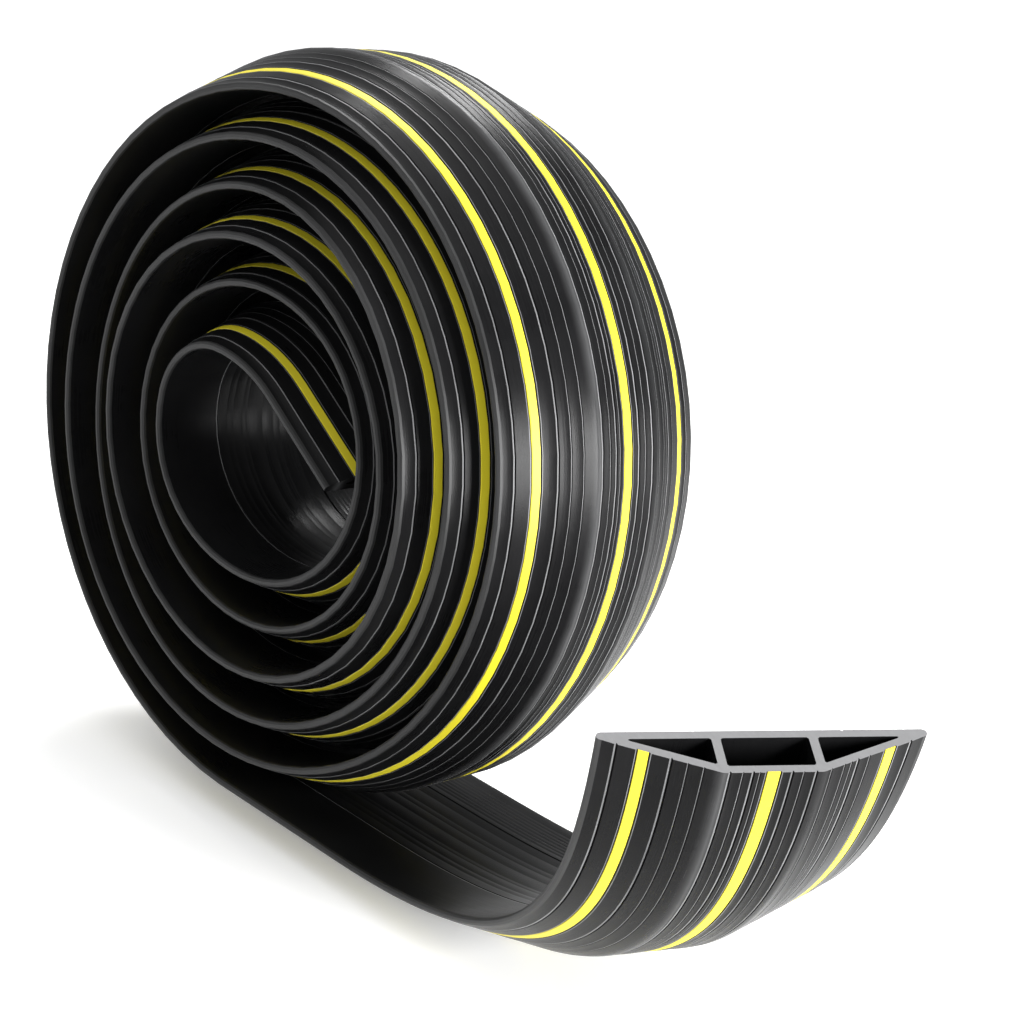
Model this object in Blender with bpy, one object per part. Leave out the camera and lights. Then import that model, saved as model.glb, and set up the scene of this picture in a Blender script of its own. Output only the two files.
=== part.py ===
"""Floor cord cover in black rubber: one extruded strip, wound into a loose upright roll.

The strip has a flat base, a raised middle and three cord channels along its whole length. It is wound with the
base inwards. Its inner end bends over at the top of the roll's eye and runs straight down to its sawn end. Its
outer end leaves the roll at the bottom, lies under it as a short tail, and curls up to its sawn end. Metres, +Z
up: the roll's axis is parallel to Y at x = 0, the tail runs towards +X, and the floor is z = 0, where the raised
middle of the tail rests.
"""

import math

import bmesh
import bpy
from mathutils import Matrix, Vector

# Section of the strip, square to its length.
WIDTH = 0.084
HEIGHT = 0.014
EDGE_THICKNESS = 0.0026
EDGE_ROUND = 0.0008
PLATEAU_WIDTH = 0.0254
PLATEAU_ROUND = 0.0008
BASE_WALL = 0.0024
TOP_WALL = 0.0023
WEB_OFFSET = 0.0123
WEB_THICKNESS = 0.0023
CHANNEL_TIP_HEIGHT = 0.0005

# Roll. Angles run up from the inner turns, with 0 at +X and 90 at the top, and the radius is to the strip's base.
TURN_PITCH = 0.01495
INNER_BEND_ANGLE = -1626.0
BOTTOM_ANGLE = 270.0
STEP_ANGLE = 12.0
OUTER_BASE_RADIUS = 0.1197
SAG = 0.0012
SAG_PER_TURN = 0.00059

# Inner end: past the roll's turns the strip bends over in two arcs, and runs straight to its sawn end.
INNER_ARCS = ((0.034, 0.0252, 6), (0.031, 0.0535, 4))
INNER_STRAIGHT = 0.0375
INNER_STRAIGHT_STEPS = 2

# How far the turns stand out of the roll's near end. Each mark has the turns in from the bottom of the outer turn,
# how far out that turn stands, and how much further it stands out on the right.
SIDE_MARKS = (
    (0.0, 0.0, 0.0),
    (0.4, 0.0020, -0.0011),
    (1.5, 0.0058, 0.0022),
    (2.5, 0.0070, 0.0074),
    (3.4, 0.0092, 0.0024),
    (4.4, 0.0024, 0.0007),
    (5.3, 0.0079, 0.0018),
)

# Tail: a flat run under the roll, then the curl, which turns up, swings to the near side and banks.
FLAT_RUN = 0.059
CURL_LENGTH = 0.239
CURL_RISE = math.radians(68.0)
CURL_SWING = math.radians(48.0)
CURL_BANK = math.radians(14.0)
RISE_POWER = 1.12
BANK_POWER = 2.3
FLAT_STEPS = 3
CURL_STEPS = 18

RUBBER_COLOUR = (0.016, 0.016, 0.017, 1.0)
RUBBER_ROUGHNESS = 0.48


def clear_scene():
    """Remove every object of the file that the script is run in."""
    for obj in list(bpy.data.objects):
        bpy.data.objects.remove(obj, do_unlink=True)


def new_collection(name):
    """Make a collection in the scene."""
    collection = bpy.data.collections.new(name)
    bpy.context.scene.collection.children.link(collection)
    return collection


def slope_height(across):
    """Height of the sloping outer face at a distance from the middle of the strip."""
    plateau_edge = PLATEAU_WIDTH / 2 + PLATEAU_ROUND
    rim = WIDTH / 2 - EDGE_ROUND
    share = (across - plateau_edge) / (rim - plateau_edge)
    return (HEIGHT - PLATEAU_ROUND / 2) * (1 - share) + EDGE_THICKNESS * share


def outline():
    """Outer outline of the section: across, and out from the base."""
    half = WIDTH / 2
    right = [
        (half - EDGE_ROUND, 0.0),
        (half, EDGE_ROUND),
        (half, EDGE_THICKNESS - EDGE_ROUND),
        (half - EDGE_ROUND, EDGE_THICKNESS),
        (PLATEAU_WIDTH / 2 + PLATEAU_ROUND, HEIGHT - PLATEAU_ROUND / 2),
        (PLATEAU_WIDTH / 2 - PLATEAU_ROUND, HEIGHT),
    ]
    return right + [(-across, out) for across, out in reversed(right)]


def middle_channel():
    """Outline of the channel between the two webs."""
    half = WEB_OFFSET - WEB_THICKNESS / 2
    top = HEIGHT - TOP_WALL
    return [(-half, BASE_WALL), (half, BASE_WALL), (half, top), (-half, top)]


def side_channel(side):
    """Outline of the tapering channel between a web and the thin edge."""
    plateau_edge = PLATEAU_WIDTH / 2 + PLATEAU_ROUND
    fall = (slope_height(plateau_edge) - slope_height(WIDTH / 2 - EDGE_ROUND)) / (
        WIDTH / 2 - EDGE_ROUND - plateau_edge
    )
    roof_wall = TOP_WALL * math.hypot(1.0, fall)
    web = WEB_OFFSET + WEB_THICKNESS / 2
    web_top = min(slope_height(web) - roof_wall, HEIGHT - TOP_WALL)
    tip = plateau_edge + (slope_height(plateau_edge) - roof_wall - BASE_WALL - CHANNEL_TIP_HEIGHT) / fall
    points = [(web, BASE_WALL), (tip, BASE_WALL), (tip, BASE_WALL + CHANNEL_TIP_HEIGHT), (web, web_top)]
    return [(side * across, out) for across, out in points]


def turns_in(angle):
    """Turns between an unwrapped angle in degrees and the bottom of the outer turn."""
    return (BOTTOM_ANGLE - angle) / 360.0


def roll_radius(angle):
    """Radius of the strip's base. The roll sags a little, so its turns are wider than they are high."""
    turns = turns_in(angle)
    sag = (SAG + SAG_PER_TURN * turns) * math.cos(2 * math.radians(angle))
    return OUTER_BASE_RADIUS - TURN_PITCH * turns + sag


def eased(value, start, full):
    """Share from 0 to 1 that eases in and out between two values."""
    share = min(1.0, max(0.0, (value - start) / (full - start)))
    return share * share * (3 - 2 * share)


def side_drift(angle):
    """How far a turn stands out of the roll's near end, eased from mark to mark."""
    turns = turns_in(angle)
    before = max((mark for mark in SIDE_MARKS[:-1] if mark[0] <= turns), default=SIDE_MARKS[0])
    after = SIDE_MARKS[SIDE_MARKS.index(before) + 1]
    share = eased(turns, before[0], after[0])
    out = before[1] + (after[1] - before[1]) * share
    further = before[2] + (after[2] - before[2]) * share
    return out + further * math.cos(math.radians(angle))


def roll_point(angle):
    """Point on the strip's base: x, up from the roll's axis, and out at the near side."""
    radius = roll_radius(angle)
    turn = math.radians(angle)
    return Vector((radius * math.cos(turn), radius * math.sin(turn), side_drift(angle)))


def inner_end_points():
    """Points on the inner end, from where it leaves the turns to the sawn end."""
    point = roll_point(INNER_BEND_ANGLE)
    inwards = roll_point(INNER_BEND_ANGLE - 1.0) - roll_point(INNER_BEND_ANGLE + 1.0)
    heading = math.atan2(inwards.y, inwards.x)
    points = []
    for length, radius, steps in INNER_ARCS + ((INNER_STRAIGHT, math.inf, INNER_STRAIGHT_STEPS),):
        turn = length / steps / radius
        for _ in range(steps):
            middle = heading - turn / 2
            point = point + Vector((math.cos(middle), math.sin(middle), 0.0)) * (length / steps)
            heading -= turn
            points.append(point)
    return points


def roll_points():
    """Points on the strip's base from the inner end to the bottom of the outer turn, moved up on to the floor."""
    steps = round((BOTTOM_ANGLE - INNER_BEND_ANGLE) / STEP_ANGLE)
    turns = [roll_point(INNER_BEND_ANGLE + STEP_ANGLE * index) for index in range(steps + 1)]
    points = list(reversed(inner_end_points())) + turns
    drop = points[-1].y - HEIGHT
    return [point - Vector((0.0, drop, 0.0)) for point in points]


def level_tilt(along):
    """Turn about the route's direction that brings the strip's width level."""
    near = Vector((0.0, 0.0, 1.0))
    up = Vector((0.0, 1.0, 0.0))
    square = near - along * near.dot(along)
    level = along.cross(up)
    return math.atan2(square.cross(level).dot(along), square.dot(level))


def curl_direction(share):
    """Direction of the route at a share of the curl's length."""
    rise = CURL_RISE * share**RISE_POWER
    swing = CURL_SWING * share
    return Vector((math.cos(rise) * math.cos(swing), math.sin(rise), math.cos(rise) * math.sin(swing)))


def tail_points(start):
    """Points on the strip's base along the flat run and the curl, with the tilt at each."""
    points = [start + Vector((FLAT_RUN * step / FLAT_STEPS, 0.0, 0.0)) for step in range(1, FLAT_STEPS + 1)]
    tilts = [0.0] * FLAT_STEPS
    length = CURL_LENGTH / CURL_STEPS
    for step in range(1, CURL_STEPS + 1):
        points.append(points[-1] + curl_direction((step - 0.5) / CURL_STEPS) * length)
        share = step / CURL_STEPS
        tilts.append(level_tilt(curl_direction(share)) + CURL_BANK * share**BANK_POWER)
    return points, tilts


def make_route(collection):
    """Make the guide curve that the strip's base follows, and list its points."""
    roll = roll_points()
    tail, tail_tilts = tail_points(roll[-1])
    points = roll + tail
    tilts = [0.0] * len(roll) + tail_tilts
    curve = bpy.data.curves.new("route", "CURVE")
    curve.dimensions = "3D"
    curve.twist_mode = "Z_UP"
    curve.use_deform_bounds = False
    spline = curve.splines.new("POLY")
    spline.points.add(len(points) - 1)
    for control, point, tilt in zip(spline.points, points, tilts):
        control.co = (*point, 1.0)
        control.tilt = tilt
    route = bpy.data.objects.new("route", curve)
    route.rotation_euler = (math.pi / 2, 0.0, 0.0)
    route.hide_render = True
    route.display_type = "WIRE"
    collection.objects.link(route)
    return route, points


def section_mesh():
    """Fill the section's outline, with its three channels left open, as a flat mesh."""
    curve = bpy.data.curves.new("section", "CURVE")
    curve.dimensions = "2D"
    curve.fill_mode = "BOTH"
    for loop in (outline(), middle_channel(), side_channel(1), side_channel(-1)):
        spline = curve.splines.new("POLY")
        spline.points.add(len(loop) - 1)
        spline.use_cyclic_u = True
        for control, (across, out) in zip(spline.points, loop):
            control.co = (across, out, 0.0, 1.0)
    holder = bpy.data.objects.new("section", curve)
    bpy.context.scene.collection.objects.link(holder)
    evaluated = holder.evaluated_get(bpy.context.evaluated_depsgraph_get())
    mesh = bpy.data.meshes.new_from_object(evaluated)
    bpy.data.objects.remove(holder, do_unlink=True)
    return mesh


def extrude_strip(mesh, points):
    """Extrude the flat section along X, with a ring of edges at each point of the route."""
    bm = bmesh.new()
    bm.from_mesh(mesh)
    bmesh.ops.remove_doubles(bm, verts=bm.verts, dist=1e-6)
    length_along_x = Matrix(((0, 0, 1), (0, -1, 0), (1, 0, 0))).to_4x4()
    bmesh.ops.transform(bm, matrix=length_along_x, verts=bm.verts)
    end_cap = bmesh.ops.duplicate(bm, geom=list(bm.faces))["geom"]
    cap_verts = [item for item in end_cap if isinstance(item, bmesh.types.BMVert)]
    cap_edges = {item for item in end_cap if isinstance(item, bmesh.types.BMEdge)}
    ring = [edge for edge in bm.edges if edge.is_boundary and edge not in cap_edges]
    for here, there in zip(points, points[1:]):
        step = Vector(((there - here).length, 0.0, 0.0))
        grown = bmesh.ops.extrude_edge_only(bm, edges=ring)["geom"]
        ring = [item for item in grown if isinstance(item, bmesh.types.BMEdge) and item.is_boundary]
        ring_verts = [item for item in grown if isinstance(item, bmesh.types.BMVert)]
        bmesh.ops.translate(bm, vec=step, verts=ring_verts)
        bmesh.ops.translate(bm, vec=step, verts=cap_verts)
    bmesh.ops.remove_doubles(bm, verts=ring_verts + cap_verts, dist=1e-6)
    bmesh.ops.recalc_face_normals(bm, faces=bm.faces)
    bm.to_mesh(mesh)
    bm.free()


def rubber():
    """Matt black rubber."""
    material = bpy.data.materials.new("black_rubber")
    material.use_nodes = True
    shader = material.node_tree.nodes["Principled BSDF"]
    shader.inputs["Base Color"].default_value = RUBBER_COLOUR
    shader.inputs["Roughness"].default_value = RUBBER_ROUGHNESS
    shader.inputs["Metallic"].default_value = 0.0
    return material


def make_strip(collection, route, points):
    """Make the strip, straight at first, and bend it along the route."""
    mesh = section_mesh()
    mesh.name = "cord_cover"
    extrude_strip(mesh, points)
    strip = bpy.data.objects.new("cord_cover", mesh)
    strip.rotation_euler = (math.pi / 2, 0.0, 0.0)
    collection.objects.link(strip)
    bend = strip.modifiers.new("wind_along_route", "CURVE")
    bend.object = route
    bend.deform_axis = "POS_X"
    mesh.materials.clear()
    mesh.materials.append(rubber())
    mesh.shade_smooth()
    mesh.set_sharp_from_angle(angle=math.radians(30.0))
    return strip


def main():
    clear_scene()
    parts = new_collection("floor_cord_cover")
    guides = new_collection("guides")
    route, points = make_route(guides)
    make_strip(parts, route, points)


main()
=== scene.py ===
# %% [markdown]
# # Floor cord cover, wound into a roll
#
# A floor cord cover is one long rubber extrusion: rubber is pushed through a steel die, so every
# detail of it, from the thick raised middle to the finest groove, runs along its whole length
# without a change. This lesson makes the die's outline once as a list of points, and then carries
# that outline along the path of the roll.
#
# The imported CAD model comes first. It says where everything is, in metres, and the detailed strip
# takes its place.

import math

import bmesh
import bpy
import numpy as np
from mathutils import Matrix, Vector
from mathutils.geometry import tessellate_polygon


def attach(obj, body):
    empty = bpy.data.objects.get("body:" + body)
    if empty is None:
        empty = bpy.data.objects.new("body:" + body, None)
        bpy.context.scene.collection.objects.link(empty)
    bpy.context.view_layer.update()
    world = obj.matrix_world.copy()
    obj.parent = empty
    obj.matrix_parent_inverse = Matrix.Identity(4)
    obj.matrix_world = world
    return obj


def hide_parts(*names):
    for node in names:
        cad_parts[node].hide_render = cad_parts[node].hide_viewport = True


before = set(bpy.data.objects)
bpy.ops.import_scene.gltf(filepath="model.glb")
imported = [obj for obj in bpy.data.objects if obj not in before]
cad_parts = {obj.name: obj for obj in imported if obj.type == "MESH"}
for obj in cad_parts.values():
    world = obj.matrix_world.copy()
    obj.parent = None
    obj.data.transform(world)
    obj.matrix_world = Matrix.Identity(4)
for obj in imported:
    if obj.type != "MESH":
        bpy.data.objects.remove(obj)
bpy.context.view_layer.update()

# %% [markdown]
# ## The die's main measures
#
# The strip is 84 mm wide and 14 mm high. Its base is flat, its middle is raised and flat on top,
# and both sides slope down to thin edges that a wheel or a foot can roll over. Two webs stand
# between the base and the top, so there are three channels for cords. All measures below are
# millimetres across the strip, because the whole strip is only 84 of them wide, and they become
# metres where the mesh is made.

# %% Main measures of the section, in millimetres
MM = 0.001
WIDTH = 84.0
HEIGHT = 14.0
EDGE_THICKNESS = 2.6
PLATEAU_HALF = 12.7
CORNER = 0.8
BASE_WALL = 2.4
TOP_WALL = 2.3
WEB_OFFSET = 12.3
WEB_THICKNESS = 2.3
CHANNEL_TIP = 0.5
print("section:", WIDTH, "mm wide,", HEIGHT, "mm high")


# %% Height of the outer face without its grooves
def face_height(across):
    """Height of the outer face at a place across the strip, where 0 is the middle."""
    start = PLATEAU_HALF + CORNER
    end = WIDTH / 2 - CORNER
    share = min(1.0, max(0.0, (abs(across) - start) / (end - start)))
    if share > 0.0:
        return (HEIGHT - CORNER / 2) * (1 - share) + EDGE_THICKNESS * share
    shoulder = min(1.0, (start - abs(across)) / (2 * CORNER))
    return HEIGHT - CORNER / 2 * (1 - shoulder) ** 2


print("face height at the middle:", face_height(0.0), "and at the rim:", EDGE_THICKNESS)


# %% [markdown]
# ## Grooves, lips and stripes
#
# The outer face isn't smooth. Fine grooves divide it into flat bands, and they stop feet from
# slipping. Each groove has a narrow lip beside it, which stands a little proud. The lip is coloured
# a lighter grey, a painted highlight that draws the thin light lines that run round the roll.
# Three yellow stripes lie in shallow troughs.
#
# A groove could be drawn with a bump texture, but then the silhouette and the cut end would stay
# smooth. Here each groove is real: a few points more in the outline. Every stretch of the outline
# also carries a mark that says which finish it gets.

# %% Places of the grooves and stripes across the strip, in millimetres from the middle
# A stripe is its name, its place and half of its width. A groove is half of its width, its depth,
# and the width and the rise of its lip.
# LIP marks the stretches that get the lip finish, whose lighter grey is a painted highlight.
RUBBER, LIP, RIM, CUT = 0, 1, 2, 3
STRIPES = (("near_stripe", 31.0, 1.25), ("middle_stripe", 0.0, 1.6), ("far_stripe", -31.2, 1.4))
TROUGH_DEPTH = 0.35
BORDER = 0.4
DEEP_GROOVES = (37.2, 24.4, 10.8, 5.0, -4.8, -10.8, -22.2, -37.2)
FINE_GROOVES = (20.6, 16.9, 7.6, 3.4, -7.6, -14.8, -18.4, -20.3, -25.4)
TROUGH_LIP = 0.2
TROUGH_DRAFT = 0.12
DEEP_GROOVE = (0.24, 0.45, 0.36, 0.08)
FINE_GROOVE = (0.15, 0.22, 0.16, 0.03)
LIP_CREST = 0.6
LIP_FOOT = 0.1
FLOOR_SHARE = 0.4


def groove(middle, half, depth, lip, rise):
    """Points of a groove and its lip, from +side to -side.

    Each point also has the finish of the stretch after it.
    """
    edge = middle + half
    crest = edge + lip * LIP_CREST
    floor_half = half * FLOOR_SHARE
    floor_height = face_height(middle) - depth
    return [
        (edge + lip, face_height(edge + lip), LIP),
        (crest, face_height(crest) + rise, LIP),
        (edge + lip * LIP_FOOT, face_height(edge) + rise / 2, RUBBER),
        (middle + floor_half, floor_height, RUBBER),
        (middle - floor_half, floor_height, RUBBER),
        (middle - half, face_height(middle - half), RUBBER),
    ]


def stripe_trough(middle, half):
    """Points of the shallow trough that holds a yellow stripe."""
    left = middle + half + BORDER
    right = middle - half - BORDER
    return [
        (left + TROUGH_LIP, face_height(left + TROUGH_LIP), LIP),
        (left, face_height(left), RUBBER),
        (left - TROUGH_DRAFT, face_height(left) - TROUGH_DEPTH, RUBBER),
        (right + TROUGH_DRAFT, face_height(right) - TROUGH_DEPTH, RUBBER),
        (right, face_height(right), LIP),
        (right - TROUGH_LIP, face_height(right - TROUGH_LIP), RUBBER),
    ]


print("grooves:", len(DEEP_GROOVES), "deep and", len(FINE_GROOVES), "fine, stripes:", len(STRIPES))

# %% [markdown]
# ## Lines on the base
#
# The base lies on the floor, or faces the roll's middle here. It is nearly smooth: the die leaves a
# guide line near one rim, a few faint lines in the middle, and a deeper line with fine ribs towards
# the far rim. The guide line has a narrow lip in the lip finish, whose lighter grey is a painted
# highlight.

# %% The base's lines: place, half of the width, and depth
BASE_GUIDE = 17.6
BASE_GUIDE_LIP = 0.3
DEEP_LINE = -20.2
FAINT_LINES = (13.6, 10.9, 6.8, 4.9, -1.7, -6.5, -9.3, -15.4)
FIRST_RIB = -22.8
RIB_SPACING = 1.9
RIB_COUNT = 8
BASE_LINES = [(BASE_GUIDE, 0.25, 0.25), (DEEP_LINE, 0.4, 0.4)]
BASE_LINES += [(place, 0.22, 0.035) for place in FAINT_LINES]
BASE_LINES += [(FIRST_RIB - RIB_SPACING * rib, 0.32, 0.08) for rib in range(RIB_COUNT)]


def base_points():
    """Points along the base from the -side to the +side, with its lines."""
    points = []
    for middle, half, depth in sorted(BASE_LINES):
        # The guide line's lip gets the lip finish, whose lighter grey is a painted highlight.
        after = LIP if middle == BASE_GUIDE else RUBBER
        points += [(middle - half, 0.0, RUBBER), (middle, depth, RUBBER)]
        points.append((middle + half, 0.0, after))
        if after == LIP:
            points.append((middle + half + BASE_GUIDE_LIP, 0.0, RUBBER))
    return points


print(len(BASE_LINES), "lines on the base")


# %% [markdown]
# ## The whole outline
#
# The outline goes once round the section: down the outer face from the near rim to the far rim,
# round the far rim, back along the base, and round the near rim. The rims are half round, because
# the die's corners are.

# %% Outline of the section and of its channels
RIM_STEPS = 5
CORNER_CUT = 0.5
CORNER_SHARE = 0.4


def rim(side):
    """Points round one thin edge, from the face to the base."""
    points = []
    radius = EDGE_THICKNESS / 2
    middle = WIDTH / 2 - radius
    for step in range(RIM_STEPS + 1):
        turn = math.pi / 2 - math.pi * step / RIM_STEPS
        across = side * (middle + radius * math.cos(turn))
        points.append((across, radius + radius * math.sin(turn), RIM))
    return points


def outer_outline():
    """The section's outline, once round, with a finish for each stretch."""
    groups = [groove(place, *DEEP_GROOVE) for place in DEEP_GROOVES]
    groups += [groove(place, *FINE_GROOVE) for place in FINE_GROOVES]
    groups += [stripe_trough(place, half) for _, place, half in STRIPES]
    for side in (1, -1):
        for share in (1.0, 0.5, 0.0, -0.5, -1.0):
            across = side * (PLATEAU_HALF + CORNER * share)
            groups.append([(across, face_height(across), RUBBER)])
    face = [point for group in sorted(groups, key=lambda points: -points[0][0]) for point in group]
    near_rim = list(reversed(rim(1)))
    far_rim = rim(-1)
    near_rim[-1] = (*near_rim[-1][:2], RUBBER)
    far_rim[-1] = (*far_rim[-1][:2], RUBBER)
    return near_rim + face + far_rim + base_points()


def channel_outlines():
    """Outlines of the three channels, with small rounded corners."""
    start = PLATEAU_HALF + CORNER
    fall = (face_height(start) - EDGE_THICKNESS) / (WIDTH / 2 - CORNER - start)
    roof = TOP_WALL * math.hypot(1.0, fall)
    inner = WEB_OFFSET - WEB_THICKNESS / 2
    web = WEB_OFFSET + WEB_THICKNESS / 2
    web_top = min(face_height(start) - roof + (start - web) * fall, HEIGHT - TOP_WALL)
    tip = start + (face_height(start) - roof - BASE_WALL - CHANNEL_TIP) / fall
    roof_height = HEIGHT - TOP_WALL
    middle = [(-inner, BASE_WALL), (inner, BASE_WALL), (inner, roof_height), (-inner, roof_height)]
    near = [(web, BASE_WALL), (tip, BASE_WALL), (tip, BASE_WALL + CHANNEL_TIP), (web, web_top)]
    far = [(-across, out) for across, out in reversed(near)]
    return [rounded(corners) for corners in (middle, near, far)]


def rounded(corners):
    """Cut each corner with two points, so that it reads as a small radius."""
    points = []
    for before, here, after in zip(corners[-1:] + corners[:-1], corners, corners[1:] + corners[:1]):
        for other in (before, after):
            share = min(CORNER_SHARE, CORNER_CUT / math.dist(here, other))
            points.append(tuple(near + (far - near) * share for near, far in zip(here, other)))
    return points


outline = outer_outline()
channels = channel_outlines()
upper = [point[0] for point in outline if point[1] > EDGE_THICKNESS]
folds = sum(1 for here, there in zip(upper, upper[1:]) if there > here)
print("outline points:", len(outline), " folds:", folds)
print("channel points:", [len(loop) for loop in channels])

# %% [markdown]
# ## The path of the roll
#
# The strip is wound with its base inwards, so the ridged face looks out. A roll is a spiral whose
# radius grows by one strip thickness a turn. The real roll isn't perfect, and its small faults
# make it look wound by hand. It sags under its own weight, so its turns are wider than they are
# high. The inner turns stand some millimetres out of the near end, each by its own amount, and
# most of them further on the right than on the left.
#
# The same law is in the CAD model, with coarser steps. Here the steps are finer, so the turns
# look round.

# %% The law of the roll, in metres and degrees
# Each side mark has the turns in from the bottom of the outer turn, how far out that turn stands,
# and how much further it stands out on the right.
TURN_PITCH = 0.01495
INNER_BEND_ANGLE = -1626.0
BOTTOM_ANGLE = 270.0
OUTER_BASE_RADIUS = 0.1197
SAG = 0.0012
SAG_PER_TURN = 0.00059
SIDE_MARKS = (
    (0.0, 0.0, 0.0),
    (0.4, 0.0020, -0.0011),
    (1.5, 0.0058, 0.0022),
    (2.5, 0.0070, 0.0074),
    (3.4, 0.0092, 0.0024),
    (4.4, 0.0024, 0.0007),
    (5.3, 0.0079, 0.0018),
)
FINE_STEP = 5.0
COARSE_STEP = 7.5
FINE_TURNS = 2.5


def eased(value, start, full):
    """Share from 0 to 1 that eases in and out between two values."""
    share = min(1.0, max(0.0, (value - start) / (full - start)))
    return share * share * (3 - 2 * share)


def side_drift(turns, turn):
    """How far a turn stands out of the roll's near end: in the middle, and further on the right."""
    before = max((mark for mark in SIDE_MARKS[:-1] if mark[0] <= turns), default=SIDE_MARKS[0])
    after = SIDE_MARKS[SIDE_MARKS.index(before) + 1]
    share = eased(turns, before[0], after[0])
    out, further = (low + (high - low) * share for low, high in zip(before[1:], after[1:]))
    return out + further * math.cos(turn)


def roll_place(angle):
    """Place of the strip's base at an unwrapped angle.

    0 is at +X, 90 at the top, and lower angles lie further in.
    """
    turns = (BOTTOM_ANGLE - angle) / 360.0
    turn = math.radians(angle)
    sag = (SAG + SAG_PER_TURN * turns) * math.cos(2 * turn)
    radius = OUTER_BASE_RADIUS - TURN_PITCH * turns + sag
    height = HEIGHT * MM + OUTER_BASE_RADIUS - SAG + radius * math.sin(turn)
    return Vector((radius * math.cos(turn), -side_drift(turns, turn), height))


def roll_angles():
    """Angles of the rings, closer together on the outer turns, which show most."""
    change = BOTTOM_ANGLE - 360.0 * FINE_TURNS
    coarse_steps = round((change - INNER_BEND_ANGLE) / COARSE_STEP)
    fine_steps = round((BOTTOM_ANGLE - change) / FINE_STEP)
    inner = np.linspace(INNER_BEND_ANGLE, change, coarse_steps + 1)
    outer = np.linspace(change, BOTTOM_ANGLE, fine_steps + 1)
    return [float(angle) for angle in np.concatenate([inner[:-1], outer])]


print("rings on the roll:", len(roll_angles()))

# %% [markdown]
# At the top of the roll's eye the inner end leaves the spiral. It bends over in two arcs, a tight
# one and a wider one, and then runs straight down to its cut end. At the bottom of the roll the
# outer turn lies flat under it, and then curls up, swings forward and banks a little.

# %% The inner end and the tail
# Each part of the inner end has a length, a radius and a number of steps.
INNER_PARTS = ((0.034, 0.0252, 12), (0.031, 0.0535, 8), (0.0375, math.inf, 4))
FLAT_RUN = 0.059
CURL_LENGTH = 0.239
CURL_RISE = math.radians(68.0)
CURL_SWING = math.radians(48.0)
CURL_BANK = math.radians(14.0)
RISE_POWER = 1.12
BANK_POWER = 2.3
FLAT_STEPS = 5
CURL_STEPS = 54
NEAR = Vector((0.0, -1.0, 0.0))


def inner_frames():
    """Rings of the inner end, from its cut end to where it joins the turns."""
    place = roll_place(INNER_BEND_ANGLE)
    inwards = roll_place(INNER_BEND_ANGLE - 1.0) - roll_place(INNER_BEND_ANGLE + 1.0)
    heading = math.atan2(inwards.z, inwards.x)
    rings = []
    for length, radius, steps in INNER_PARTS:
        turn = length / steps / radius
        for _ in range(steps):
            middle = heading - turn / 2
            place = place + Vector((math.cos(middle), 0.0, math.sin(middle))) * (length / steps)
            heading -= turn
            along = Vector((-math.cos(heading), 0.0, -math.sin(heading)))
            rings.append((place, NEAR, along.cross(NEAR)))
    return rings[::-1]


def curl_direction(share):
    """Direction of the strip at a share of the curl's length."""
    rise = CURL_RISE * share**RISE_POWER
    swing = CURL_SWING * share
    level = math.cos(rise)
    return Vector((level * math.cos(swing), -level * math.sin(swing), math.sin(rise)))


def ring_frames():
    """For each ring: the base's place, the way to the near side, and the way out of the base."""
    rings = inner_frames()
    for angle in roll_angles():
        along = (roll_place(angle + 0.5) - roll_place(angle - 0.5)).normalized()
        near = (NEAR - along * NEAR.dot(along)).normalized()
        rings.append((roll_place(angle), near, along.cross(near)))
    place = roll_place(BOTTOM_ANGLE)
    for _ in range(FLAT_STEPS):
        place = place + Vector((FLAT_RUN / FLAT_STEPS, 0.0, 0.0))
        rings.append((place, NEAR, Vector((0.0, 0.0, -1.0))))
    for step in range(1, CURL_STEPS + 1):
        share = step / CURL_STEPS
        place = place + curl_direction((step - 0.5) / CURL_STEPS) * (CURL_LENGTH / CURL_STEPS)
        along = curl_direction(share)
        level = along.cross(Vector((0.0, 0.0, 1.0))).normalized()
        near = Matrix.Rotation(CURL_BANK * share**BANK_POWER, 3, along) @ level
        rings.append((place, near, along.cross(near)))
    return rings


frames = ring_frames()
lengths = [0.0]
for before, after in zip(frames, frames[1:]):
    lengths.append(lengths[-1] + (after[0] - before[0]).length)
print("rings:", len(frames), " strip length in metres:", round(lengths[-1], 3))


# %% [markdown]
# ## Carry the outline along the path
#
# A curve with a bevel object would be quick, but it gives one finish to the whole section and no
# hold over the UV maps. Here the mesh is made by hand: each ring places the outline in its frame,
# neighbouring rings are joined by four-sided faces, and both ends are closed by a filled section
# with the three channels left open.
#
# Two UV maps are made on the way. One holds real distances in metres, round the section and along
# the strip, and the rubber's finish reads it, because everything that a die leaves behind runs
# lengthwise. The other cuts the same long strip into a few even rows and stacks them in a square,
# like the lines of a page, so a texture can be baked for it without waste.

# %% Sweep a set of closed loops along the rings
# The numbers place the rows and the two ends on the maps, in metres, before the page is scaled.
ROW_GAP = 0.008
END_ROOM = 0.03
END_CLEAR = 0.003
END_START = 0.06
END_SPACING = 0.12
ENDS_APART = 1.0
PAGE_FILL = 0.98
SHARP_ANGLE = math.radians(32.0)


def rounds_of(loop):
    """Distance round a closed loop in metres, up to each of its points and back to the first."""
    distances = [0.0]
    for here, there in zip(loop, loop[1:] + loop[:1]):
        distances.append(distances[-1] + math.dist(here[:2], there[:2]) * MM)
    return distances


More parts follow.
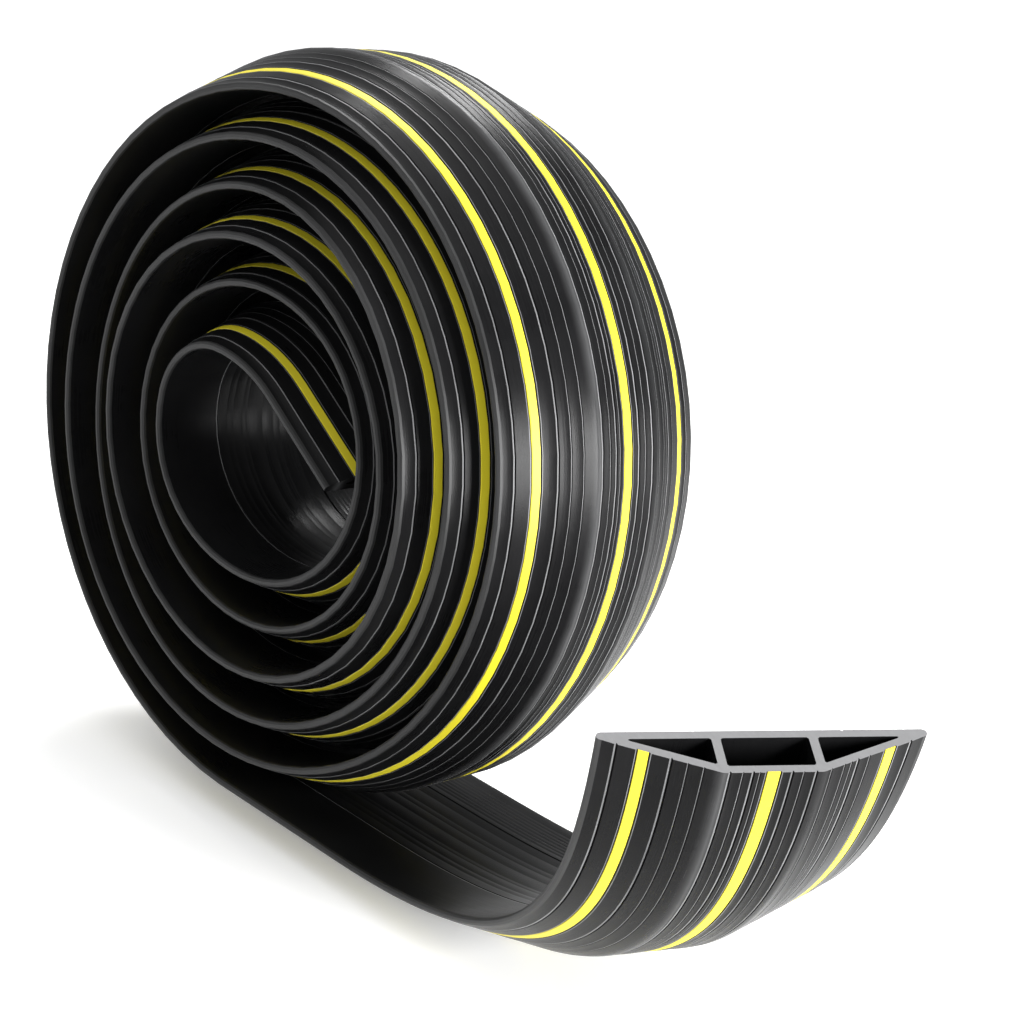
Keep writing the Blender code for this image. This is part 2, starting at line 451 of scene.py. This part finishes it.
def sweep(name, loops, finishes, end_finishes, rows):
    """Carry closed loops along the rings: the first is the outside, and the others are holes."""
    rounds = [rounds_of(loop) for loop in loops]
    starts = np.cumsum([0.0] + [distances[-1] for distances in rounds])
    firsts = np.cumsum([0] + [len(loop) for loop in loops])
    flat = [point for loop in loops for point in loop]
    row_rings = math.ceil((len(frames) - 1) / rows)
    row_height = float(starts[-1]) + ROW_GAP
    row_marks = list(range(0, len(frames) - 1, row_rings)) + [len(frames) - 1]
    longest = max(lengths[high] - lengths[low] for low, high in zip(row_marks, row_marks[1:]))
    page_scale = PAGE_FILL / max(longest, rows * row_height + END_ROOM)
    vertices = []
    for place, near, out in frames:
        vertices += [place + near * point[0] * MM + out * point[1] * MM for point in flat]
    faces, slots, spots, page = [], [], [], []
    for ring in range(len(frames) - 1):
        row = ring // row_rings
        row_start = lengths[row * row_rings]
        for number, loop in enumerate(loops):
            low = ring * len(flat) + int(firsts[number])
            high = low + len(flat)
            start = float(starts[number])
            for point in range(len(loop)):
                after = (point + 1) % len(loop)
                faces.append([low + point, low + after, high + after, high + point])
                slots.append(finishes[number][point])
                around = [start + rounds[number][point + step] for step in (0, 1, 1, 0)]
                along = [lengths[ring + step] for step in (0, 0, 1, 1)]
                spots.append(list(zip(around, along)))
                page.append([
                    ((far - row_start) * page_scale, (row * row_height + side) * page_scale)
                    for side, far in zip(around, along)
                ])
    section = [[Vector((point[0], point[1], 0.0)) for point in loop] for loop in loops]
    end_rise = rows * row_height + END_CLEAR
    for number, ring in enumerate((0, len(frames) - 1)):
        for triangle in tessellate_polygon(section):
            faces.append([ring * len(flat) + corner for corner in triangle])
            slots.append(end_finishes[number])
            places = [(flat[corner][0] * MM, flat[corner][1] * MM) for corner in triangle]
            spots.append([(across, out - ENDS_APART * (1 + number)) for across, out in places])
            shift = END_START + END_SPACING * number
            page.append([
                ((across + shift) * page_scale, (out + end_rise) * page_scale)
                for across, out in places
            ])
    mesh = bpy.data.meshes.new(name)
    mesh.from_pydata(vertices, [], faces)
    mesh.polygons.foreach_set("material_index", slots)
    for map_name, corners in (("strip_place", spots), ("OFBake", page)):
        flat_corners = np.array([spot for face in corners for spot in face], dtype=np.float32)
        mesh.uv_layers.new(name=map_name).uv.foreach_set("vector", flat_corners.ravel())
    return mesh


def close_up(mesh):
    """Make every face look outwards, and mark the sharp edges of the section."""
    bm = bmesh.new()
    bm.from_mesh(mesh)
    bmesh.ops.recalc_face_normals(bm, faces=bm.faces)
    open_edges = sum(1 for edge in bm.edges if not edge.is_manifold)
    bm.to_mesh(mesh)
    bm.free()
    mesh.shade_smooth()
    mesh.set_sharp_from_angle(angle=SHARP_ANGLE)
    return open_edges


# %% Make the strip
STRIP_ROWS = 3
strip_finishes = [[point[2] for point in outline]] + [[RUBBER] * len(loop) for loop in channels]
# The inner cut end lies in shade in the roll's eye and gets the black rubber instead of the grey
# cut finish: painted shade.
strip_mesh = sweep("strip", [outline] + channels, strip_finishes, (RUBBER, CUT), STRIP_ROWS)
print("open edges:", close_up(strip_mesh))
print("triangles:", sum(len(face.vertices) - 2 for face in strip_mesh.polygons))
strip = bpy.data.objects.new("strip", strip_mesh)
bpy.context.scene.collection.objects.link(strip)

# %% [markdown]
# ## The yellow stripes
#
# The stripes are yellow rubber that goes through the same die, so each is a thin inlay in its
# trough. Its top edges are slightly rounded, which keeps a fine dark line between the yellow and
# the black.

# %% Make the three stripes
STRIPE_CLEAR = 0.04
STRIPE_ROWS = 16
STRIPE_TOP = ((1.0, 0.14), (0.93, 0.03), (0.0, 0.0), (-0.93, 0.03), (-1.0, 0.14))


def stripe_outline(middle, half):
    """Outline of a stripe: a thin bar whose top follows the face, with eased top edges."""
    bottom = ((-1.0, TROUGH_DEPTH - STRIPE_CLEAR), (1.0, TROUGH_DEPTH - STRIPE_CLEAR))
    points = []
    for across, drop in STRIPE_TOP + bottom:
        place = middle + across * half
        points.append((place, face_height(place) - drop))
    return points


stripes = []
for stripe_name, stripe_middle, stripe_half in STRIPES:
    bar = stripe_outline(stripe_middle, stripe_half)
    bar_mesh = sweep(stripe_name, [bar], [[0] * len(bar)], (0, 0), STRIPE_ROWS)
    print(stripe_name, "open edges:", close_up(bar_mesh))
    stripe = bpy.data.objects.new(stripe_name, bar_mesh)
    bpy.context.scene.collection.objects.link(stripe)
    stripes.append(stripe)


# %% [markdown]
# ## Shader maths as expressions
#
# A material is a graph of nodes, and long graphs are hard to read as code. The class below wraps
# one socket of a node. When two wrapped sockets are added or multiplied, it adds the Math or
# Vector Math node that does it, so a finish can be written like a formula.

# %% A wrapped socket
class Wire:
    """One output of a node, with the arithmetic that adds nodes behind it."""

    def __init__(self, recipe, socket):
        self.recipe = recipe
        self.socket = socket
        self.is_vector = socket.type in ("VECTOR", "RGBA")

    def _maths(self, operation, first, second):
        vector = any(isinstance(value, Wire) and value.is_vector for value in (first, second))
        kind = "ShaderNodeVectorMath" if vector else "ShaderNodeMath"
        return self.recipe.node(kind, {"operation": operation}, {0: first, 1: second})

    def __add__(self, other):
        return self._maths("ADD", self, other)

    def __radd__(self, other):
        return self._maths("ADD", other, self)

    def __sub__(self, other):
        return self._maths("SUBTRACT", self, other)

    def __rsub__(self, other):
        return self._maths("SUBTRACT", other, self)

    def __mul__(self, other):
        return self._maths("MULTIPLY", self, other)

    def __pow__(self, other):
        return self._maths("POWER", self, other)


# %% One material's recipe
class Recipe:
    """A material under construction."""

    def __init__(self, name):
        self.material = bpy.data.materials.new(name)
        self.material.use_nodes = True
        self.tree = self.material.node_tree
        self.shader = self.tree.nodes["Principled BSDF"]

    def node(self, kind, settings=None, inputs=None, output=0):
        """Add any node: its settings first, then a value or a link for each named socket."""
        made = self.tree.nodes.new(kind)
        for key, value in (settings or {}).items():
            if key == "stops":
                self._set_stops(made, value)
            else:
                setattr(made, key, value)
        for key, value in (inputs or {}).items():
            self._feed(made.inputs[key], value)
        return Wire(self, made.outputs[output])

    def _feed(self, socket, value):
        if isinstance(value, Wire):
            self.tree.links.new(value.socket, socket)
        elif socket.type in ("VECTOR", "RGBA") and isinstance(value, (int, float)):
            socket.default_value = [value] * len(socket.default_value)
        else:
            socket.default_value = value

    def _set_stops(self, made, stops):
        elements = made.color_ramp.elements
        while len(elements) < len(stops):
            elements.new(0.5)
        for element, (position, value) in zip(elements, stops):
            element.position = position
            element.color = (value, value, value, 1.0)

    def finish(self, **sockets):
        """Feed the shader's sockets, with underscores for the spaces in their names."""
        for key, value in sockets.items():
            self._feed(self.shader.inputs[key.replace("_", " ")], value)
        return self.material


def blend(recipe, factor, first, second):
    """Mix two colours."""
    inputs = {"Factor": factor, 6: first, 7: second}
    return recipe.node("ShaderNodeMix", {"data_type": "RGBA"}, inputs, 2)


def ramp(recipe, value, stops):
    """Bend a value by a ramp of grey stops."""
    return recipe.node("ShaderNodeValToRGB", {"stops": stops}, {"Fac": value})


def noise(recipe, place, scale, detail, roughness):
    """Smooth noise at a place, from 0 to 1."""
    inputs = {"Vector": place, "Scale": scale, "Detail": detail, "Roughness": roughness}
    return recipe.node("ShaderNodeTexNoise", {}, inputs)


def bump(recipe, height, strength, distance):
    """Shallow relief, as a normal for the shader."""
    inputs = {"Strength": strength, "Distance": distance, "Height": height}
    return recipe.node("ShaderNodeBump", {}, inputs)


def strip_place(recipe):
    """Distance round the section and along the strip, in metres."""
    return recipe.node("ShaderNodeUVMap", {"uv_map": "strip_place"})


def body_place(recipe):
    """Place in the object's own space, in metres."""
    return recipe.node("ShaderNodeTexCoord", {}, {}, "Object")


print("shader tools ready")

# %% [markdown]
# ## Black rubber
#
# Extruded rubber is satin, not matt and not glossy. The die draws very fine lines along it. The
# surface has a thin grey bloom, which lies unevenly and is easily wiped. So the colour changes
# only a little, and most of what the eye sees comes from roughness and from a shallow bump: drawn
# lines, stretched along the strip, and a fine grain.
#
# The shoulders of the raised middle are smoother than the rest, and a soft band of lighter grey
# follows them along the whole strip: a painted highlight on the shoulders. The far shoulder gets
# much less of it than the near one.

# %% Black rubber
BLACK = (0.0042, 0.0042, 0.0045, 1.0)
BLOOM = (0.0100, 0.0100, 0.0104, 1.0)
# Painted highlight: the lighter grey of the band along the shoulders.
SHOULDER_SHEEN = (0.0600, 0.0602, 0.0615, 1.0)
SHOULDER = PLATEAU_HALF - 0.6
SHOULDER_REACH = 3.2
SHOULDER_FALL = 1.6
FAR_SHEEN = 0.15
BLACK_SPECULAR = 0.06
DRAWN_SCALE = (1500.0, 5.0, 1.0)
WAVY_SCALE = (140.0, 9.0, 1.0)
BLOOM_SCALE = 26.0
GRAIN_SCALE = 2600.0


def distance_to(across):
    """Distance in metres round the outline from its start to a place on its outer face."""
    on_face = [number for number, point in enumerate(outline) if point[1] > EDGE_THICKNESS]
    return rounds_of(outline)[min(on_face, key=lambda number: abs(outline[number][0] - across))]


def sheen_band(recipe, place, across):
    """1 at a place across the strip, and a soft fall to 0 on both sides."""
    offset = recipe.node("ShaderNodeSeparateXYZ", {}, {0: place}) - distance_to(across)
    away = recipe.node("ShaderNodeMath", {"operation": "ABSOLUTE"}, {0: offset})
    band = 1.0 - away * (1.0 / (SHOULDER_REACH * MM))
    band = recipe.node("ShaderNodeMath", {"operation": "MAXIMUM"}, {0: band, 1: 0.0})
    return band**SHOULDER_FALL


def black_rubber():
    """The strip's main finish."""
    recipe = Recipe("black_rubber")
    place = strip_place(recipe)
    body = body_place(recipe)
    drawn = noise(recipe, place * DRAWN_SCALE, 1.0, 3.0, 0.6)
    wavy = noise(recipe, place * WAVY_SCALE, 1.0, 3.0, 0.55)
    bloom = noise(recipe, body, BLOOM_SCALE, 4.0, 0.6)
    grain = noise(recipe, body, GRAIN_SCALE, 2.0, 0.5)
    patches = ramp(recipe, bloom, [(0.35, 0.0), (0.7, 1.0)])
    far_sheen = sheen_band(recipe, place, -SHOULDER) * FAR_SHEEN
    wear_and_sheen = sheen_band(recipe, place, SHOULDER) + far_sheen
    colour = blend(recipe, patches * 0.5 + drawn * 0.25, BLACK, BLOOM)
    return recipe.finish(
        # The shoulder band lifts the colour towards a lighter grey: a painted highlight.
        Base_Color=blend(recipe, wear_and_sheen * (0.7 + patches * 0.3), colour, SHOULDER_SHEEN),
        Roughness=0.22 + drawn * 0.08 + patches * 0.08 - wear_and_sheen * 0.04,
        Normal=bump(recipe, drawn * 0.6 + wavy * 0.8 + grain * 0.5, 0.35, 0.00012),
        Specular_IOR_Level=BLACK_SPECULAR,
    )


rubber = black_rubber()
shoulders = [round(distance_to(place), 4) for place in (SHOULDER, -SHOULDER)]
print("made", rubber.name, " shoulders at", shoulders)

# %% [markdown]
# ## Lips and rims with a painted sheen, yellow rubber and the cut faces
#
# The lips beside the grooves are the same rubber, coloured a lighter grey and dull: a painted
# highlight for the light lines along them. The two rims get only a faint painted sheen and stay
# nearly black. The yellow is a strong lemon yellow with a faint green cast and a satin face. A saw
# leaves the outer cut end mid grey, because the fresh face is rough and scatters light, and fine
# parallel marks cross it. The inner cut end lies in shade in the roll's eye and keeps the black
# rubber: painted shade.

# %% The other finishes
# Painted highlight: the lips' lighter greys draw the light lines along the grooves.
LIP_SHEEN_GREY = (0.080, 0.081, 0.083, 1.0)
LIP_SHEEN_PALE = (0.175, 0.176, 0.179, 1.0)
# Faint painted sheen: the rims' greys, a little lighter than the black rubber.
RIM_SHEEN_GREY = (0.008, 0.008, 0.0082, 1.0)
RIM_SHEEN_PALE = (0.022, 0.022, 0.0225, 1.0)
YELLOW = (0.69, 0.60, 0.026, 1.0)
YELLOW_DEEP = (0.62, 0.50, 0.018, 1.0)
CUT_GREY = (0.125, 0.125, 0.128, 1.0)
CUT_PALE = (0.180, 0.180, 0.184, 1.0)
WEAR_AND_SHEEN_SCALE = (40.0, 22.0, 1.0)
YELLOW_DRAWN_SCALE = (1800.0, 6.0, 1.0)
SOILED_SCALE = 30.0
SAW_SCALE = (260.0, 900.0, 420.0)
CLOUD_SCALE = 220.0


def sheen_rubber(name, grey, pale, specular, roughness):
    """A finish with a painted sheen, a lighter grey that varies unevenly along the strip."""
    recipe = Recipe(name)
    wear_and_sheen = noise(recipe, strip_place(recipe) * WEAR_AND_SHEEN_SCALE, 1.0, 3.0, 0.6)
    return recipe.finish(
        Base_Color=blend(recipe, ramp(recipe, wear_and_sheen, [(0.3, 0.0), (0.7, 1.0)]), grey, pale),
        Roughness=roughness + wear_and_sheen * 0.12,
        Specular_IOR_Level=specular,
    )


def yellow_rubber():
    """The stripes' finish, a little soiled in places."""
    recipe = Recipe("yellow_rubber")
    drawn = noise(recipe, strip_place(recipe) * YELLOW_DRAWN_SCALE, 1.0, 3.0, 0.6)
    soiled = noise(recipe, body_place(recipe), SOILED_SCALE, 4.0, 0.6)
    deeper = ramp(recipe, soiled, [(0.45, 0.0), (0.8, 0.5)]) + drawn * 0.12
    return recipe.finish(
        Base_Color=blend(recipe, deeper, YELLOW, YELLOW_DEEP),
        Roughness=0.42 + drawn * 0.1,
        Normal=bump(recipe, drawn, 0.25, 0.0001),
        Specular_IOR_Level=0.3,
    )


def cut_rubber():
    """The finish of a sawn end."""
    recipe = Recipe("cut_rubber")
    body = body_place(recipe)
    marks = noise(recipe, body * SAW_SCALE, 1.0, 2.0, 0.6)
    cloud = noise(recipe, body, CLOUD_SCALE, 4.0, 0.6)
    return recipe.finish(
        Base_Color=blend(recipe, marks * 0.5 + cloud * 0.5, CUT_GREY, CUT_PALE),
        Roughness=0.6 + cloud * 0.15,
        Normal=bump(recipe, marks * 0.7 + cloud * 0.5, 0.4, 0.0002),
    )


# Lips and rims get greys lighter than the black rubber: painted sheen.
lip = sheen_rubber("lip_painted_sheen", LIP_SHEEN_GREY, LIP_SHEEN_PALE, 0.3, 0.34)
rim_sheen = sheen_rubber("rim_painted_sheen", RIM_SHEEN_GREY, RIM_SHEEN_PALE, 0.32, 0.46)
for finish in (rubber, lip, rim_sheen, cut_rubber()):
    strip_mesh.materials.append(finish)
yellow = yellow_rubber()
for stripe in stripes:
    stripe.data.materials.append(yellow)
print("strip finishes:", [finish.name for finish in strip_mesh.materials])

# %% [markdown]
# ## The studio
#
# The object stands on a plain white floor. A very wide, soft light from above keeps the floor
# white as far as the camera sees, with a little help: the floor glows weakly. Only a faint shadow
# is left under the roll. The surroundings are an even grey. A black object shows the lamps more
# than its own colour: the reflections of a few large lamps draw the soft grey highlights on the
# rubber.

# %% Floor, surroundings and lamps
# A lamp is its name, its place, its width and height, and its power in watts.
FLOOR_SIZE = 60.0
FLOOR_GAP = 0.0002
FLOOR_WHITE = (0.88, 0.88, 0.88, 1.0)
SKY_ANGLE = math.radians(70.0)
SKY_POWER = 1.8
SKY_PLACE = (0.0, 0.0, 3.0)
SKY_TURN = (0.12, -0.08, 0.0)
FLOOR_GLOW = 0.26
GLOW_WHITE = (1.0, 1.0, 1.0, 1.0)
SURROUND = 0.45
SURROUND_COLOUR = (0.98, 0.99, 1.0, 1.0)
AIM = Vector((0.05, -0.01, 0.12))
LAMPS = (
    ("right", (1.4, 0.03, 0.35), (0.30, 0.55), 38.0),
    ("right_back", (1.2, 0.72, 0.28), (0.30, 0.45), 9.0),
    ("back", (-0.42, 0.46, 0.92), (0.40, 0.22), 8.0),
    ("left_front", (-1.2, -1.4, 0.8), (0.3, 0.8), 3.0),
)


def floor():
    """The white floor, just under the strip."""
    mesh = bpy.data.meshes.new("floor")
    half = FLOOR_SIZE / 2
    corners = [(-half, -half, 0), (half, -half, 0), (half, half, 0), (-half, half, 0)]
    mesh.from_pydata(corners, [], [(0, 1, 2, 3)])
    white = Recipe("studio_floor").finish(
        Base_Color=FLOOR_WHITE,
        Roughness=0.9,
        Specular_IOR_Level=0.1,
        Emission_Color=GLOW_WHITE,
        Emission_Strength=FLOOR_GLOW,
    )
    mesh.materials.append(white)
    plane = bpy.data.objects.new("floor", mesh)
    plane.location.z = -FLOOR_GAP
    bpy.context.scene.collection.objects.link(plane)
    return plane


def add_light(light, place, turned):
    """Put a light in the scene."""
    holder = bpy.data.objects.new(light.name, light)
    holder.location = place
    holder.rotation_euler = turned
    bpy.context.scene.collection.objects.link(holder)


def lamp(name, place, size, power):
    """A flat lamp that shines at the roll."""
    light = bpy.data.lights.new(name, "AREA")
    light.shape = "RECTANGLE"
    light.size, light.size_y = size
    light.energy = power
    add_light(light, place, (AIM - Vector(place)).to_track_quat("-Z", "Y").to_euler())


floor()
sky = bpy.data.lights.new("wide_overhead", "SUN")
sky.angle = SKY_ANGLE
sky.energy = SKY_POWER
add_light(sky, SKY_PLACE, SKY_TURN)
for entry in LAMPS:
    lamp(*entry)
world = bpy.data.worlds.new("studio")
world.use_nodes = True
background = world.node_tree.nodes["Background"]
background.inputs["Color"].default_value = SURROUND_COLOUR
background.inputs["Strength"].default_value = SURROUND
bpy.context.scene.world = world
bpy.context.scene.view_settings.view_transform = "Standard"
print("lamps:", [entry[0] for entry in LAMPS])

# %% [markdown]
# ## The camera
#
# The camera stands in front and to the right of the roll's near end, looks slightly down, and is
# rolled by nine degrees. Its focal length and place come from the rims of the turns in the
# photograph: curves of known size, seen at an angle, fix where the camera is.

# %% Camera
YAW = math.radians(43.24)
TILT = math.radians(17.52)
ROLL = math.radians(9.0)
FOCAL_PIXELS = 2239.0
FRAME_PIXELS = 1024.0
SENSOR = 36.0
DISTANCE = 0.699
NEAREST = 0.01
TARGET = Vector((0.0756, 0.0, 0.1296))

view = Vector((-math.sin(YAW) * math.cos(TILT), math.cos(YAW) * math.cos(TILT), -math.sin(TILT)))
level = Vector((math.cos(YAW), math.sin(YAW), 0.0))
upright = level.cross(view)
right = level * math.cos(ROLL) + upright * math.sin(ROLL)
up = upright * math.cos(ROLL) - level * math.sin(ROLL)
lens = bpy.data.cameras.new("camera")
lens.sensor_width = SENSOR
lens.lens = FOCAL_PIXELS * SENSOR / FRAME_PIXELS
lens.clip_start = NEAREST
camera = bpy.data.objects.new("camera", lens)
turned = Matrix((right, up, -view)).transposed().to_4x4()
camera.matrix_world = Matrix.Translation(TARGET - view * DISTANCE) @ turned
bpy.context.scene.collection.objects.link(camera)
bpy.context.scene.camera = camera
print("camera at", [round(value, 3) for value in camera.location])
print("lens:", round(lens.lens, 1), "mm")

# %% [markdown]
# ## The pieces on the CAD body
#
# Each piece rides on the CAD body, and the CAD model's own strip is hidden, because the detailed
# strip takes its place.

# %% Attach the pieces to the CAD body and hide the CAD strip
for piece in [strip] + stripes:
    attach(piece, "root")
    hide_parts("cord_cover")

bpy.context.view_layer.update()
